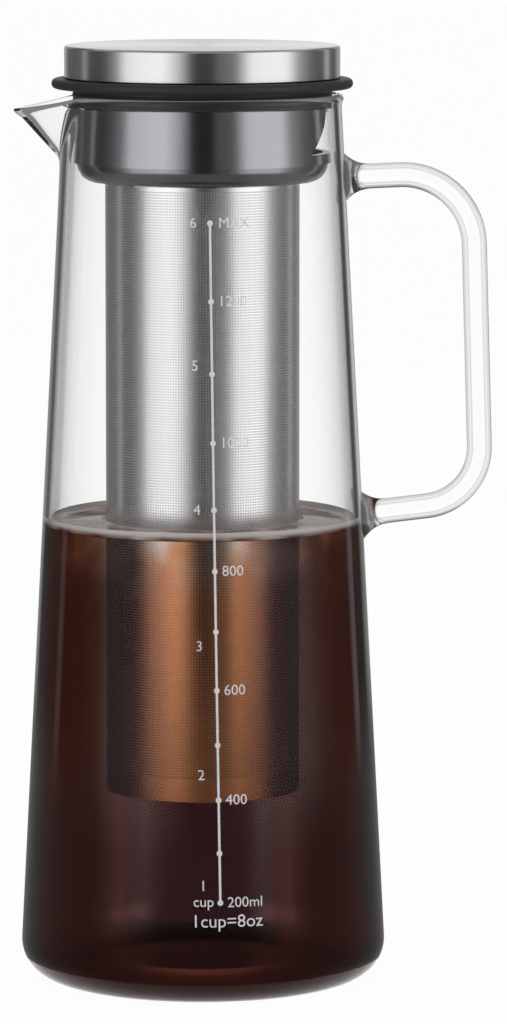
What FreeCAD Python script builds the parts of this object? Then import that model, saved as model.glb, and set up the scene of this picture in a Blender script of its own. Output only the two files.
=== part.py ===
import FreeCAD, Part
import math
import os
import Sketcher

# Cold brew coffee maker: a tapered glass carafe with a pulled spout and a rod
# handle, and a lid whose collar hangs in the neck and carries a long filter.
# Millimetres. The origin is the centre of the carafe's flat foot, +Z is up,
# the handle points to +X and the spout to -X.

SIZES = [
    # Glass carafe
    ("foot_radius", 51.6, "outer radius of the cone where it would meet the table"),
    ("rim_height", 247.8, "top of the rim above the table"),
    ("glass_wall", 2.1, "thickness of the blown wall"),
    ("glass_floor", 3.2, "thickness of the floor"),
    ("foot_rounding", 10.4, "outer radius where the wall turns into the floor"),
    ("bead_radius", 1.35, "radius of the fire-polished bead round the rim"),
    # Pulled spout
    ("spout_drop", 18.0, "depth of the spout below the rim"),
    ("spout_slope", 1.05, "how far the keel runs outwards for each unit of height"),
    ("spout_half_width", 17.0, "half the spout's width where it leaves the rim"),
    ("spout_nose", 3.6, "outer radius of the spout's nose, seen from above"),
    ("spout_root", 2.4, "half the spout's width at the foot of its keel"),
    ("lip_dip", 4.2, "how far the pouring lip dips below the rim"),
    ("lip_length", 13.5, "distance from the nose to where the lip leaves the rim"),
    # Rod handle
    ("rod_radius", 3.5, "radius of the handle's glass rod"),
    ("handle_drop", 23.2, "distance of the upper arm below the rim, at the wall"),
    ("handle_span", 94.2, "distance between the two arms, at the wall"),
    ("upper_rise", 1.6, "height that the upper arm gains on its way out"),
    ("lower_rise", 4.1, "height that the lower arm gains on its way out"),
    ("upper_reach", 35.3, "length of the upper arm from the wall to the grip's centre line"),
    ("lower_reach", 33.0, "length of the lower arm from the wall to the grip's centre line"),
    ("upper_bend", 20.0, "centre line radius of the upper bend"),
    ("lower_bend", 16.5, "centre line radius of the lower bend"),
    ("weld_radius", 6.6, "radius of the flared welds on the wall"),
    ("weld_length", 8.5, "length over which a weld thins to the rod"),
    # Lid
    ("cap_margin", 3.55, "how far the flange stands out beyond the steel cap"),
    ("cap_height", 8.9, "height of the steel cap"),
    ("cap_sheet", 0.8, "thickness of the cap's sheet"),
    ("cap_edge", 1.0, "outer radius of the cap's pressed edge"),
    ("flange_overhang", 3.3, "how far the silicone flange stands out beyond the neck"),
    ("flange_thickness", 2.7, "thickness of the silicone flange"),
    ("flange_lift", 1.6, "height of the flange above the rim"),
    ("plug_step", 1.0, "how far the silicone plug stands out beyond the collar's shoulder"),
    ("plug_depth", 4.5, "depth of the silicone plug"),
    ("lip_rib", 0.3, "how far the plug's two sealing ribs stand out"),
    ("shoulder_width", 4.8, "width of the collar's shoulder outside its hub"),
    ("hub_wall", 1.9, "wall of the collar's hub and of the core's spigot"),
    ("spigot_depth", 7.0, "depth of the core's spigot in the hub"),
    ("collar_flare", 0.9, "how much wider the collar is at its lower edge than at its shoulder"),
    ("collar_step", 0.9, "how far the collar's lower edge stands out beyond its base"),
    ("collar_height", 15.6, "height of the collar's wall"),
    ("collar_wall", 2.0, "wall of the collar and of its base"),
    ("shoulder", 1.3, "thickness of the collar's shoulder"),
    ("window_sill", 2.8, "height of the pour window's sill above the collar's edge"),
    ("window_bend", 7.6, "height of the bend in the window's sides above the sill"),
    ("window_sill_width", 39.8, "width of the pour window at its sill"),
    ("window_bend_width", 24.0, "width of the pour window at the bend"),
    ("window_top_width", 18.8, "width of the pour window at its top"),
    ("channel_width", 3.4, "width of the ring-shaped channel between the socket and the base's wall"),
    ("base_height", 5.4, "height of the collar's base"),
    ("base_rounding", 0.8, "radius of the base's lower edge, as a share of the base's width"),
    ("base_floor", 1.8, "thickness of the base's floor"),
    ("tongue_height", 2.2, "height of the base's tongue inside the collar"),
    ("socket_wall", 1.1, "wall of the socket that holds the filter"),
    ("socket_height", 14.4, "height of the socket"),
    ("inlet_count", 12, "number of inlet slots in the base's floor"),
    ("inlet_length", 9.0, "length of an inlet slot round the base"),
    ("inlet_margin", 1.2, "plain width of the channel's floor outside an inlet slot"),
    # Filter
    ("tube_radius", 27.0, "outer radius of the filter tube"),
    ("tube_sheet", 0.4, "thickness of the etched sheet"),
    ("filter_length", 187.2, "length of the filter from rim to base"),
    ("head_above", 2.4, "how far the filter's mouth stands above the socket"),
    ("band_height", 6.0, "height of the rolled band inside the mouth"),
    ("band_sheet", 0.6, "thickness of the rolled band"),
    ("grip_height", 7.0, "height of the silicone grip ring"),
    ("grip_thickness", 1.0, "thickness of the silicone grip ring"),
    ("grip_drop", 5.0, "distance of the grip ring below the socket's mouth"),
    ("dish_height", 4.0, "height of the skirt round the filter's base"),
    ("dish_sheet", 0.6, "thickness of the filter's base"),
    # Clearances
    ("running_gap", 0.3, "gap between pieces that move apart"),
    ("fit_gap", 0.1, "gap between pieces that fit inside each other"),
]

# Shares of another size that give a form its character
KEEL_INSET = 1.4    # walls of inset that keep the sloping keel one wall thick
BACK_INSET = 5      # walls between the glass surface and the hidden back of the spout's wedge
LIP_BEND = 0.45     # where the lip line bends, as a share of the lip's length
NOSE_FALL = 0.8     # how much further the lip line falls past the nose, in dips
WELD_TIP = 0.85     # radius of the weld's thin end inside the rod, in rod radii
SOFT_EDGE = 0.45    # radius of the flange's soft edge, in flange thicknesses
RIB_PITCHES = 5     # the plug's depth holds two ribs on this many pitches

doc = FreeCAD.newDocument("ColdBrewMaker")
sheet = doc.addObject("Spreadsheet::Sheet", "Sizes")
for row, (alias, value, note) in enumerate(SIZES, start=1):
    sheet.set(f"A{row}", alias)
    sheet.set(f"B{row}", str(value))
    sheet.set(f"C{row}", note)
    sheet.setAlias(f"B{row}", alias)
doc.recompute()


class Size:
    """A number together with the sheet expression that it comes from."""

    def __init__(self, value, text):
        self.value = float(value)
        self.text = text

    def __add__(self, other):
        other = as_size(other)
        return Size(self.value + other.value, f"({self.text} + {other.text})")

    def __sub__(self, other):
        other = as_size(other)
        return Size(self.value - other.value, f"({self.text} - {other.text})")

    def __mul__(self, other):
        other = as_size(other)
        return Size(self.value * other.value, f"({self.text} * {other.text})")

    def __truediv__(self, other):
        other = as_size(other)
        return Size(self.value / other.value, f"({self.text} / {other.text})")


def as_size(number):
    return number if isinstance(number, Size) else Size(number, repr(float(number)))


cell = {alias: Size(value, f"Sizes.{alias}") for alias, value, note in SIZES}


# Heights and radii that several pieces share

# The lid is sized outwards from the filter, and the neck outwards from the lid.
grip_radius = cell["tube_radius"] + cell["grip_thickness"]
tube_bore = cell["tube_radius"] - cell["tube_sheet"]
socket_radius = grip_radius + cell["running_gap"]
socket_outside = socket_radius + cell["socket_wall"]
base_radius = socket_outside + cell["channel_width"] + cell["collar_wall"]
collar_radius = base_radius + cell["collar_step"]
collar_top_radius = collar_radius - cell["collar_flare"]
hub_radius = collar_top_radius - cell["shoulder_width"]
bore_radius = hub_radius + cell["running_gap"]
plug_radius = collar_top_radius + cell["plug_step"]
neck_bore = plug_radius + cell["lip_rib"] + cell["running_gap"]
neck_radius = neck_bore + cell["glass_wall"]
flange_radius = neck_radius + cell["flange_overhang"]
cap_radius = flange_radius - cell["cap_margin"]


def glass_radius(height):
    """Outer radius of the carafe's cone at a height."""
    narrowing = cell["foot_radius"] - neck_radius
    return cell["foot_radius"] - narrowing * height / cell["rim_height"]


handle_top = cell["rim_height"] - cell["handle_drop"]
handle_low = handle_top - cell["handle_span"]
bead_height = cell["rim_height"] - cell["bead_radius"]
flange_bottom = cell["rim_height"] + cell["flange_lift"]
flange_top = flange_bottom + cell["flange_thickness"]
cap_bottom = flange_top + cell["running_gap"]
cap_top = cap_bottom + cell["cap_height"]
cap_inside = cap_top - cell["cap_sheet"]
plug_bottom = flange_bottom - cell["plug_depth"]
collar_top = plug_bottom - cell["running_gap"]
collar_ceiling = collar_top - cell["shoulder"]
collar_bottom = collar_top - cell["collar_height"]
base_bottom = collar_bottom - cell["base_height"]
socket_top = base_bottom + cell["socket_height"]
filter_top = socket_top + cell["head_above"]
filter_bottom = filter_top - cell["filter_length"]


# Sketch and feature helpers

def new_body(label):
    body = doc.addObject("PartDesign::Body", label)
    body.Label = label
    return body


def origin_plane(body, role):
    for feature in body.Origin.OriginFeatures:
        if feature.Role == role:
            return feature
    raise RuntimeError("no plane " + role)


def new_sketch(body, name, role="XZ_Plane", offset=None):
    sketch = body.newObject("Sketcher::SketchObject", name)
    sketch.AttachmentSupport = [(origin_plane(body, role), "")]
    sketch.MapMode = "FlatFace"
    if offset is not None:
        sketch.AttachmentOffset = FreeCAD.Placement(
            FreeCAD.Vector(0, 0, offset.value), FreeCAD.Rotation())
        sketch.setExpression("AttachmentOffset.Base.z", offset.text)
    return sketch


def bind_distance(sketch, kind, geometry, point, size):
    """Hold one coordinate of a point at a size counted from the origin."""
    if size.value == 0:
        axis = -2 if kind == "DistanceX" else -1
        sketch.addConstraint(Sketcher.Constraint("PointOnObject", geometry, point, axis))
        return
    ends = (-1, 1, geometry, point) if size.value > 0 else (geometry, point, -1, 1)
    text = size.text if size.value > 0 else f"0 - {size.text}"
    index = sketch.addConstraint(Sketcher.Constraint(kind, *ends, abs(size.value)))
    sketch.setExpression(f"Constraints[{index}]", text)


def bind_value(sketch, size, *constraint):
    index = sketch.addConstraint(Sketcher.Constraint(*constraint, size.value))
    sketch.setExpression(f"Constraints[{index}]", size.text)


def point_at(across, up):
    return FreeCAD.Vector(across.value, up.value, 0)


def polygon(sketch, corners):
    """A closed outline of straight lines, each corner held by two sizes."""
    corners = [(as_size(across), as_size(up)) for across, up in corners]
    count = len(corners)
    for i, corner in enumerate(corners):
        following = corners[(i + 1) % count]
        sketch.addGeometry(Part.LineSegment(point_at(*corner), point_at(*following)))
    for i in range(count):
        sketch.addConstraint(Sketcher.Constraint("Coincident", i, 2, (i + 1) % count, 1))
    for i, (across, up) in enumerate(corners):
        bind_distance(sketch, "DistanceX", i, 1, across)
        bind_distance(sketch, "DistanceY", i, 1, up)


def turn(body, name, sketch, kind="PartDesign::Revolution"):
    """Revolve a sketch on the XZ plane about the vertical axis."""
    feature = body.newObject(kind, name)
    feature.Profile = sketch
    feature.ReferenceAxis = (sketch, ["V_Axis"])
    feature.Angle = 360
    sketch.Visibility = False
    return feature


def turned(body, name, corners, kind="PartDesign::Revolution"):
    sketch = new_sketch(body, name + "_outline")
    polygon(sketch, corners)
    return turn(body, name, sketch, kind)


def ring_edges(shape, radius, height):
    """Names of the circular edges with this radius at this height."""
    names = []
    for number, edge in enumerate(shape.Edges, start=1):
        curve = edge.Curve
        if not isinstance(curve, Part.Circle):
            continue
        same_radius = abs(curve.Radius - radius.value) < 0.01
        same_height = abs(curve.Center.z - height.value) < 0.01
        if same_radius and same_height:
            names.append(f"Edge{number}")
    if not names:
        raise RuntimeError(f"no ring edge at radius {radius.value}, height {height.value}")
    return names


def round_rings(body, name, size, rings):
    """Fillet the circular edges of the body's tip at the given radii and heights."""
    doc.recompute()
    base = body.Tip
    edges = []
    for radius, height in rings:
        edges += ring_edges(base.Shape, as_size(radius), as_size(height))
    fillet = body.newObject("PartDesign::Fillet", name)
    fillet.Base = (base, edges)
    fillet.Radius = size.value
    fillet.setExpression("Radius", size.text)
    return fillet


# Glass carafe

def beak_outline(body, name, height, nose, half_width, back, nose_radius):
    """A horizontal slice of the spout: a wedge with a round nose towards -X."""
    sketch = new_sketch(body, name, "XY_Plane", height)
    centre = nose - nose_radius
    back_x = back.value
    span = math.hypot(centre.value - back_x, half_width.value)
    to_centre = math.atan2(half_width.value, centre.value - back_x)
    turn_in = math.asin(nose_radius.value / span)
    normal = math.pi / 2 + to_centre - turn_in
    touch_x = -(centre.value - nose_radius.value * math.cos(normal))
    touch_y = nose_radius.value * math.sin(normal)
    corner_high = FreeCAD.Vector(-back_x, half_width.value, 0)
    corner_low = FreeCAD.Vector(-back_x, -half_width.value, 0)
    touch_high = FreeCAD.Vector(touch_x, touch_y, 0)
    touch_low = FreeCAD.Vector(touch_x, -touch_y, 0)
    tip = FreeCAD.Vector(-nose.value, 0, 0)
    sketch.addGeometry(Part.LineSegment(corner_high, touch_high))
    sketch.addGeometry(Part.Arc(touch_high, tip, touch_low))
    sketch.addGeometry(Part.LineSegment(touch_low, corner_low))
    sketch.addGeometry(Part.LineSegment(corner_low, corner_high))
    sketch.addConstraint(Sketcher.Constraint("Tangent", 0, 2, 1, 1))
    sketch.addConstraint(Sketcher.Constraint("Tangent", 1, 2, 2, 1))
    sketch.addConstraint(Sketcher.Constraint("Coincident", 2, 2, 3, 1))
    sketch.addConstraint(Sketcher.Constraint("Coincident", 3, 2, 0, 1))
    sketch.addConstraint(Sketcher.Constraint("Symmetric", 0, 1, 2, 2, -1))
    sketch.addConstraint(Sketcher.Constraint("PointOnObject", 1, 3, -1))
    bind_value(sketch, nose_radius, "Radius", 1)
    bind_value(sketch, centre, "DistanceX", 1, 3, -1, 1)
    bind_value(sketch, back, "DistanceX", 0, 1, -1, 1)
    bind_value(sketch, half_width, "DistanceY", -1, 1, 0, 1)
    return sketch


def beak(body, name, kind, top, inset, mouth, root):
    """The spout as a wedge that widens and runs outwards from its root to the rim."""
    foot = cell["rim_height"] - cell["spout_drop"]
    slices = []
    for end, height, shape in (("root", foot, root), ("mouth", top, mouth)):
        wall = glass_radius(height)
        nose = wall + cell["spout_slope"] * (height - foot) - inset
        back = wall - cell["glass_wall"] * BACK_INSET
        half_width, nose_radius = shape
        slices.append(beak_outline(body, f"{name}_{end}", height, nose, half_width, back, nose_radius))
    loft = body.newObject(kind, name)
    loft.Profile = slices[0]
    loft.Sections = slices[1:]
    loft.Ruled = True
    for outline in slices:
        outline.Visibility = False
    return loft


def make_carafe():
    body = new_body("glass_carafe")
    rim = cell["rim_height"]
    above_rim = rim + cell["bead_radius"]
    turned(body, "outer_cone", [
        (0, 0),
        (cell["foot_radius"], 0),
        (glass_radius(bead_height), bead_height),
        (0, bead_height)])
    bead = new_sketch(body, "bead_outline")
    bead_centre = glass_radius(bead_height) - cell["glass_wall"] / 2 + cell["bead_radius"] / 4
    bead.addGeometry(Part.Circle(point_at(bead_centre, bead_height), FreeCAD.Vector(0, 0, 1),
                                 cell["bead_radius"].value))
    bind_value(bead, cell["bead_radius"], "Radius", 0)
    bind_distance(bead, "DistanceX", 0, 3, bead_centre)
    bind_distance(bead, "DistanceY", 0, 3, bead_height)
    turn(body, "rim_bead", bead)

    beak(body, "spout_outside", "PartDesign::AdditiveLoft", rim, 0,
         (cell["spout_half_width"], cell["spout_nose"]),
         (cell["spout_root"], cell["spout_root"] / 2))
    inner_foot = glass_radius(cell["glass_floor"]) - cell["glass_wall"]
    turned(body, "hollow", [
        (0, cell["glass_floor"]),
        (inner_foot, cell["glass_floor"]),
        (glass_radius(above_rim) - cell["glass_wall"], above_rim),
        (0, above_rim)], "PartDesign::Groove")
    round_rings(body, "floor_round", cell["foot_rounding"] - cell["glass_wall"],
                [(inner_foot, cell["glass_floor"])])
    round_rings(body, "foot_round", cell["foot_rounding"], [(cell["foot_radius"], 0)])
    beak(body, "spout_inside", "PartDesign::SubtractiveLoft", above_rim, cell["glass_wall"] * KEEL_INSET,
         (cell["spout_half_width"] - cell["glass_wall"], cell["spout_nose"] - cell["glass_wall"]),
         (cell["spout_root"] / 2, cell["spout_root"] / 4))

    nose = glass_radius(rim) + cell["spout_slope"] * (cell["spout_drop"] - cell["lip_dip"])
    dip = rim - cell["lip_dip"]
    outside = cell["lip_length"] * -1 - nose
    start = cell["lip_length"] - nose
    lip = new_sketch(body, "lip_outline")
    polygon(lip, [
        (start, rim),
        (cell["lip_length"] * LIP_BEND - nose, dip),
        (outside, dip - cell["lip_dip"] * NOSE_FALL),
        (outside, above_rim),
        (start, above_rim)])
    cut = body.newObject("PartDesign::Pocket", "lip_cut")
    cut.Profile = lip
    cut.Type = "ThroughAll"
    cut.Midplane = True
    lip.Visibility = False
    return body


# Glass handle

def bend_points(before, corner, after, radius):
    """Start, middle and end of the arc that rounds a corner."""
    coming = (corner - before).normalize()
    going = (after - corner).normalize()
    turning = math.acos(coming.dot(going))
    reach = radius * math.tan(turning / 2)
    inward = (going - coming).normalize()
    centre = corner + inward * (radius / math.cos(turning / 2))
    return corner - coming * reach, centre - inward * radius, corner + going * reach


def rod_path(body, corners, radii):
    """The rod's centre line: straight runs between rounded corners."""
    sketch = new_sketch(body, "rod_path")
    points = [point_at(*corner) for corner in corners]
    guides = []
    for i in range(3):
        guides.append(sketch.addGeometry(Part.LineSegment(points[i], points[i + 1]), True))
    for i in (0, 1):
        sketch.addConstraint(Sketcher.Constraint("Coincident", guides[i], 2, guides[i + 1], 1))
    for i in range(3):
        bind_distance(sketch, "DistanceX", guides[i], 1, corners[i][0])
        bind_distance(sketch, "DistanceY", guides[i], 1, corners[i][1])
    bind_distance(sketch, "DistanceX", guides[2], 2, corners[3][0])
    bind_distance(sketch, "DistanceY", guides[2], 2, corners[3][1])

    upper = bend_points(points[0], points[1], points[2], radii[0].value)
    lower = bend_points(points[1], points[2], points[3], radii[1].value)
    top_arm = sketch.addGeometry(Part.LineSegment(points[0], upper[0]))
    top_bend = sketch.addGeometry(Part.Arc(*upper))
    grip = sketch.addGeometry(Part.LineSegment(upper[2], lower[0]))
    low_bend = sketch.addGeometry(Part.Arc(*lower))
    low_arm = sketch.addGeometry(Part.LineSegment(lower[2], points[3]))
    sketch.addConstraint(Sketcher.Constraint("Coincident", top_arm, 1, guides[0], 1))
    sketch.addConstraint(Sketcher.Constraint("Coincident", low_arm, 2, guides[2], 2))
    sketch.addConstraint(Sketcher.Constraint("PointOnObject", top_arm, 2, guides[0]))
    sketch.addConstraint(Sketcher.Constraint("PointOnObject", grip, 1, guides[1]))
    sketch.addConstraint(Sketcher.Constraint("PointOnObject", grip, 2, guides[1]))
    sketch.addConstraint(Sketcher.Constraint("PointOnObject", low_arm, 1, guides[2]))
    for line, line_end, arc in ((top_arm, 2, top_bend), (grip, 1, top_bend),
                                (grip, 2, low_bend), (low_arm, 1, low_bend)):
        corner = sketch.getPoint(line, line_end)
        near_start = sketch.getPoint(arc, 1).distanceToPoint(corner)
        near_end = sketch.getPoint(arc, 2).distanceToPoint(corner)
        arc_end = 1 if near_start < near_end else 2
        sketch.addConstraint(Sketcher.Constraint("Tangent", line, line_end, arc, arc_end))
    bind_value(sketch, radii[0], "Radius", top_bend)
    bind_value(sketch, radii[1], "Radius", low_bend)
    return sketch


def add_weld(body, name, height, start, rise, reach, inside):
    """A flare along an arm, where the softened rod was pressed on to the wall."""
    cone = body.newObject("PartDesign::AdditiveCone", name)
    cone.AttachmentSupport = [(origin_plane(body, "YZ_Plane"), "")]
    cone.MapMode = "FlatFace"
    slope = rise / (reach - start)
    tilt = math.degrees(math.atan(slope.value))
    cone.AttachmentOffset = FreeCAD.Placement(
        FreeCAD.Vector(0, height.value, start.value),
        FreeCAD.Rotation(FreeCAD.Vector(-1, 0, 0), tilt))
    cone.setExpression("AttachmentOffset.Base.y", height.text)
    cone.setExpression("AttachmentOffset.Base.z", start.text)
    cone.setExpression("AttachmentOffset.Rotation.Angle", f"atan({slope.text})")
    cone.setExpression("Radius1", cell["weld_radius"].text)
    cone.setExpression("Radius2", (cell["rod_radius"] * WELD_TIP).text)
    cone.setExpression("Height", (cell["weld_length"] + inside).text)


def make_handle():
    body = new_body("glass_handle")
    inside = cell["glass_wall"]
    top_start = glass_radius(handle_top) - inside
    low_start = glass_radius(handle_low) - inside
    top_reach = glass_radius(handle_top) + cell["upper_reach"]
    low_reach = glass_radius(handle_low) + cell["lower_reach"]
    path = rod_path(body, [
        (top_start, handle_top),
        (top_reach, handle_top + cell["upper_rise"]),
        (low_reach, handle_low + cell["lower_rise"]),
        (low_start, handle_low)], (cell["upper_bend"], cell["lower_bend"]))
    section = new_sketch(body, "rod_section", "YZ_Plane", top_start)
    section.addGeometry(Part.Circle(FreeCAD.Vector(0, handle_top.value, 0),
                                    FreeCAD.Vector(0, 0, 1), cell["rod_radius"].value))
    bind_value(section, cell["rod_radius"], "Radius", 0)
    section.addConstraint(Sketcher.Constraint("PointOnObject", 0, 3, -2))
    bind_distance(section, "DistanceY", 0, 3, handle_top)
    rod = body.newObject("PartDesign::AdditivePipe", "rod")
    rod.Profile = section
    rod.Spine = (path, "")
    path.Visibility = False
    section.Visibility = False
    add_weld(body, "upper_weld", handle_top, top_start, cell["upper_rise"], top_reach, inside)
    add_weld(body, "lower_weld", handle_low, low_start, cell["lower_rise"], low_reach, inside)
    turned(body, "glass_surface", [
        (0, 0),
        (cell["foot_radius"], 0),
        (neck_radius, cell["rim_height"]),
        (0, cell["rim_height"])], "PartDesign::Groove")
    return body


# Lid

def make_steel_cap():
    body = new_body("steel_cap")
    inner = cap_radius - cell["cap_sheet"]
    turned(body, "pressed_shell", [
        (cap_radius, cap_bottom),
        (cap_radius, cap_top),
        (0, cap_top),
        (0, cap_inside),
        (inner, cap_inside),
        (inner, cap_bottom)])
    round_rings(body, "pressed_edge", cell["cap_edge"], [(cap_radius, cap_top)])
    return body


def make_cap_core():
    """The moulding that fills the cap, with a spigot that plugs into the collar's hub."""
    body = new_body("cap_core")
    core_radius = cap_radius - cell["cap_sheet"] - cell["fit_gap"]
    spigot_radius = hub_radius - cell["hub_wall"] - cell["fit_gap"]
    spigot_bore = spigot_radius - cell["hub_wall"]
    spigot_bottom = cap_bottom - cell["spigot_depth"]
    recess = cap_inside - cell["hub_wall"]
    turned(body, "core", [
        (0, cap_inside),
        (core_radius, cap_inside),
        (core_radius, cap_bottom),
        (spigot_radius, cap_bottom),
        (spigot_radius, spigot_bottom),
        (spigot_bore, spigot_bottom),
        (spigot_bore, recess),
        (0, recess)])
    return body


def make_rim_gasket():
    body = new_body("rim_gasket")
    turned(body, "flange", [
        (bore_radius, flange_bottom),
        (flange_radius, flange_bottom),
        (flange_radius, flange_top),
        (bore_radius, flange_top)])
    round_rings(body, "soft_edge", cell["flange_thickness"] * SOFT_EDGE,
                [(flange_radius, flange_bottom), (flange_radius, flange_top)])
    return body


def make_neck_seal():
    """A silicone plug with two ribs that wipe the inside of the neck."""
    body = new_body("neck_seal")
    rib_radius = plug_radius + cell["lip_rib"]
    step = cell["plug_depth"] / RIB_PITCHES
    turned(body, "plug", [
        (bore_radius, plug_bottom),
        (plug_radius, plug_bottom),
        (rib_radius, plug_bottom + step),
        (plug_radius, plug_bottom + step * 2),
        (rib_radius, plug_bottom + step * 3),
        (plug_radius, plug_bottom + step * 4),
        (plug_radius, flange_bottom),
        (bore_radius, flange_bottom)])
    return body


def make_pour_collar():
    """A dark sleeve in the neck, with a hub above and a pour window in one side."""
    body = new_body("pour_collar")
    hub_bore = hub_radius - cell["hub_wall"]
    turned(body, "sleeve", [
        (collar_radius - cell["collar_wall"], collar_bottom),
        (collar_radius, collar_bottom),
        (collar_top_radius, collar_top),
        (hub_radius, collar_top),
        (hub_radius, cap_bottom),
        (hub_bore, cap_bottom),
        (hub_bore, collar_ceiling),
        (collar_top_radius - cell["collar_wall"], collar_ceiling)])
    sill = collar_bottom + cell["window_sill"]
    bend_height = sill + cell["window_bend"]
    outline = new_sketch(body, "window_outline", "YZ_Plane")
    polygon(outline, [
        (cell["window_sill_width"] / -2, sill),
        (cell["window_sill_width"] / 2, sill),
        (cell["window_bend_width"] / 2, bend_height),
        (cell["window_top_width"] / 2, collar_ceiling),
        (cell["window_top_width"] / -2, collar_ceiling),
        (cell["window_bend_width"] / -2, bend_height)])
    window = body.newObject("PartDesign::Pocket", "pour_window")
    window.Profile = outline
    window.Type = "Length"
    window.Reversed = True
    window.setExpression("Length", (collar_radius * 2).text)
    outline.Visibility = False
    return body


def make_collar_base():
    """The rounded ring under the collar, with the filter's socket and inlet slots."""
    body = new_body("collar_base")
    tongue = collar_radius - cell["collar_wall"] - cell["fit_gap"]
    floor_top = base_bottom + cell["base_floor"]
    tongue_inner = tongue - cell["socket_wall"]
    turned(body, "ring", [
        (socket_radius, base_bottom),
        (base_radius, base_bottom),
        (base_radius, collar_bottom),
        (tongue, collar_bottom),
        (tongue, collar_bottom + cell["tongue_height"]),
        (tongue_inner, collar_bottom + cell["tongue_height"]),
        (tongue_inner, floor_top + cell["socket_wall"]),
        (tongue_inner - cell["socket_wall"], floor_top),
        (socket_outside, floor_top),
        (socket_outside, socket_top),
        (socket_radius, socket_top)])
    round_rings(body, "base_round", cell["base_rounding"] * (base_radius - socket_radius),
                [(base_radius, base_bottom)])
    slot_start = socket_outside + cell["fit_gap"]
    slot_end = socket_outside + cell["channel_width"] - cell["inlet_margin"]
    outline = new_sketch(body, "inlet_outline", "XY_Plane", base_bottom)
    polygon(outline, [
        (slot_start, cell["inlet_length"] / -2),
        (slot_end, cell["inlet_length"] / -2),
        (slot_end, cell["inlet_length"] / 2),
        (slot_start, cell["inlet_length"] / 2)])
    slot = body.newObject("PartDesign::Pocket", "inlet_slot")
    slot.Profile = outline
    slot.Type = "Length"
    slot.Reversed = True
    slot.setExpression("Length", (cell["base_floor"] * 2).text)
    outline.Visibility = False
    doc.recompute()
    ring = body.newObject("PartDesign::PolarPattern", "inlet_ring")
    ring.Originals = [slot]
    ring.Axis = (outline, ["N_Axis"])
    ring.Angle = 360
    ring.setExpression("Occurrences", cell["inlet_count"].text)
    body.Tip = ring
    return body


# Filter

def make_filter_tube():
    body = new_body("filter_tube")
    turned(body, "rolled_sheet", [
        (tube_bore, filter_bottom),
        (cell["tube_radius"], filter_bottom),
        (cell["tube_radius"], filter_top),
        (tube_bore, filter_top)])
    return body


def make_filter_rim():
    """The band rolled into the mouth, with a bead that covers the sheet's edge."""
    body = new_body("filter_rim")
    band_bore = tube_bore - cell["band_sheet"]
    turned(body, "band", [
        (band_bore, filter_top - cell["band_height"]),
        (tube_bore, filter_top - cell["band_height"]),
        (tube_bore, filter_top),
        (cell["tube_radius"] + cell["running_gap"], filter_top),
        (cell["tube_radius"] + cell["running_gap"], filter_top + cell["band_sheet"]),
        (band_bore, filter_top + cell["band_sheet"])])
    return body


def make_filter_grip():
    body = new_body("filter_grip")
    grip_top = socket_top - cell["grip_drop"]
    turned(body, "ring", [
        (cell["tube_radius"], grip_top - cell["grip_height"]),
        (grip_radius, grip_top - cell["grip_height"]),
        (grip_radius, grip_top),
        (cell["tube_radius"], grip_top)])
    return body


def make_filter_base():
    """A shallow dish pressed into the bottom of the tube, open side up."""
    body = new_body("filter_base")
    skirt_bore = tube_bore - cell["dish_sheet"]
    turned(body, "dish", [
        (0, filter_bottom),
        (tube_bore, filter_bottom),
        (tube_bore, filter_bottom + cell["dish_height"]),
        (skirt_bore, filter_bottom + cell["dish_height"]),
        (skirt_bore, filter_bottom + cell["dish_sheet"]),
        (0, filter_bottom + cell["dish_sheet"])])
    return body


BUILDERS = [
    make_carafe, make_handle,
    make_rim_gasket, make_neck_seal,
    make_steel_cap, make_cap_core, make_pour_collar, make_collar_base,
    make_filter_tube, make_filter_rim, make_filter_grip, make_filter_base,
]

pieces = [build() for build in BUILDERS]
doc.recompute()

for item in doc.Objects:
    if "Invalid" in item.State or "Error" in item.State:
        raise RuntimeError(f"{item.Name} failed: {item.State}")
os.makedirs("parts", exist_ok=True)
for piece in pieces:
    if piece.Shape.isNull() or not piece.Shape.isValid() or len(piece.Shape.Solids) != 1:
        raise RuntimeError(f"{piece.Label} is not one valid solid")
for piece in pieces:
    box = piece.Shape.BoundBox
    print(f"{piece.Label}: volume {piece.Shape.Volume / 1000:.2f} ml, z {box.ZMin:.2f} to {box.ZMax:.2f},"
          f" x {box.XMin:.2f} to {box.XMax:.2f}")
    piece.Shape.exportStep(f"parts/{piece.Label}.step")
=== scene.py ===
# %% [markdown]
# # A glass cold brew coffee maker
# The real one is a tall blown glass carafe with a pulled spout and a glass rod handle. Its lid is
# a brushed steel cap on black silicone, with a dark collar that hangs in the neck and carries a
# long filter of etched steel. This file dresses the CAD model of it: each cell makes one piece,
# one finish or one part of the small studio that it is photographed in.

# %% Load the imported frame
import math
import bmesh
import bpy
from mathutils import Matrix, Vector


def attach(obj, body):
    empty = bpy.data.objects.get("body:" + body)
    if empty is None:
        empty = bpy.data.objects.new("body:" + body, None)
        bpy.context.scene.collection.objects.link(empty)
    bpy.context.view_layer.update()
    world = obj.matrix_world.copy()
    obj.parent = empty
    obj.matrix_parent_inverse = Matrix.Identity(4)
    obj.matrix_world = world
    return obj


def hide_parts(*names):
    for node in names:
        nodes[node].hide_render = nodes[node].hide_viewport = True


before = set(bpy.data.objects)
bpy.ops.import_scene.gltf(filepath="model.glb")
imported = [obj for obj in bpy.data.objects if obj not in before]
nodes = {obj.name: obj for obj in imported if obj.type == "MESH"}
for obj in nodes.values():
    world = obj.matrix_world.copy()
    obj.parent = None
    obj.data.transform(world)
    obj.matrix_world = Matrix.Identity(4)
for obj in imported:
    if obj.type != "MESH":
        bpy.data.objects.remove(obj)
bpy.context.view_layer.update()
MM = 0.001
print("CAD nodes:", ", ".join(sorted(nodes)))

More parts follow.
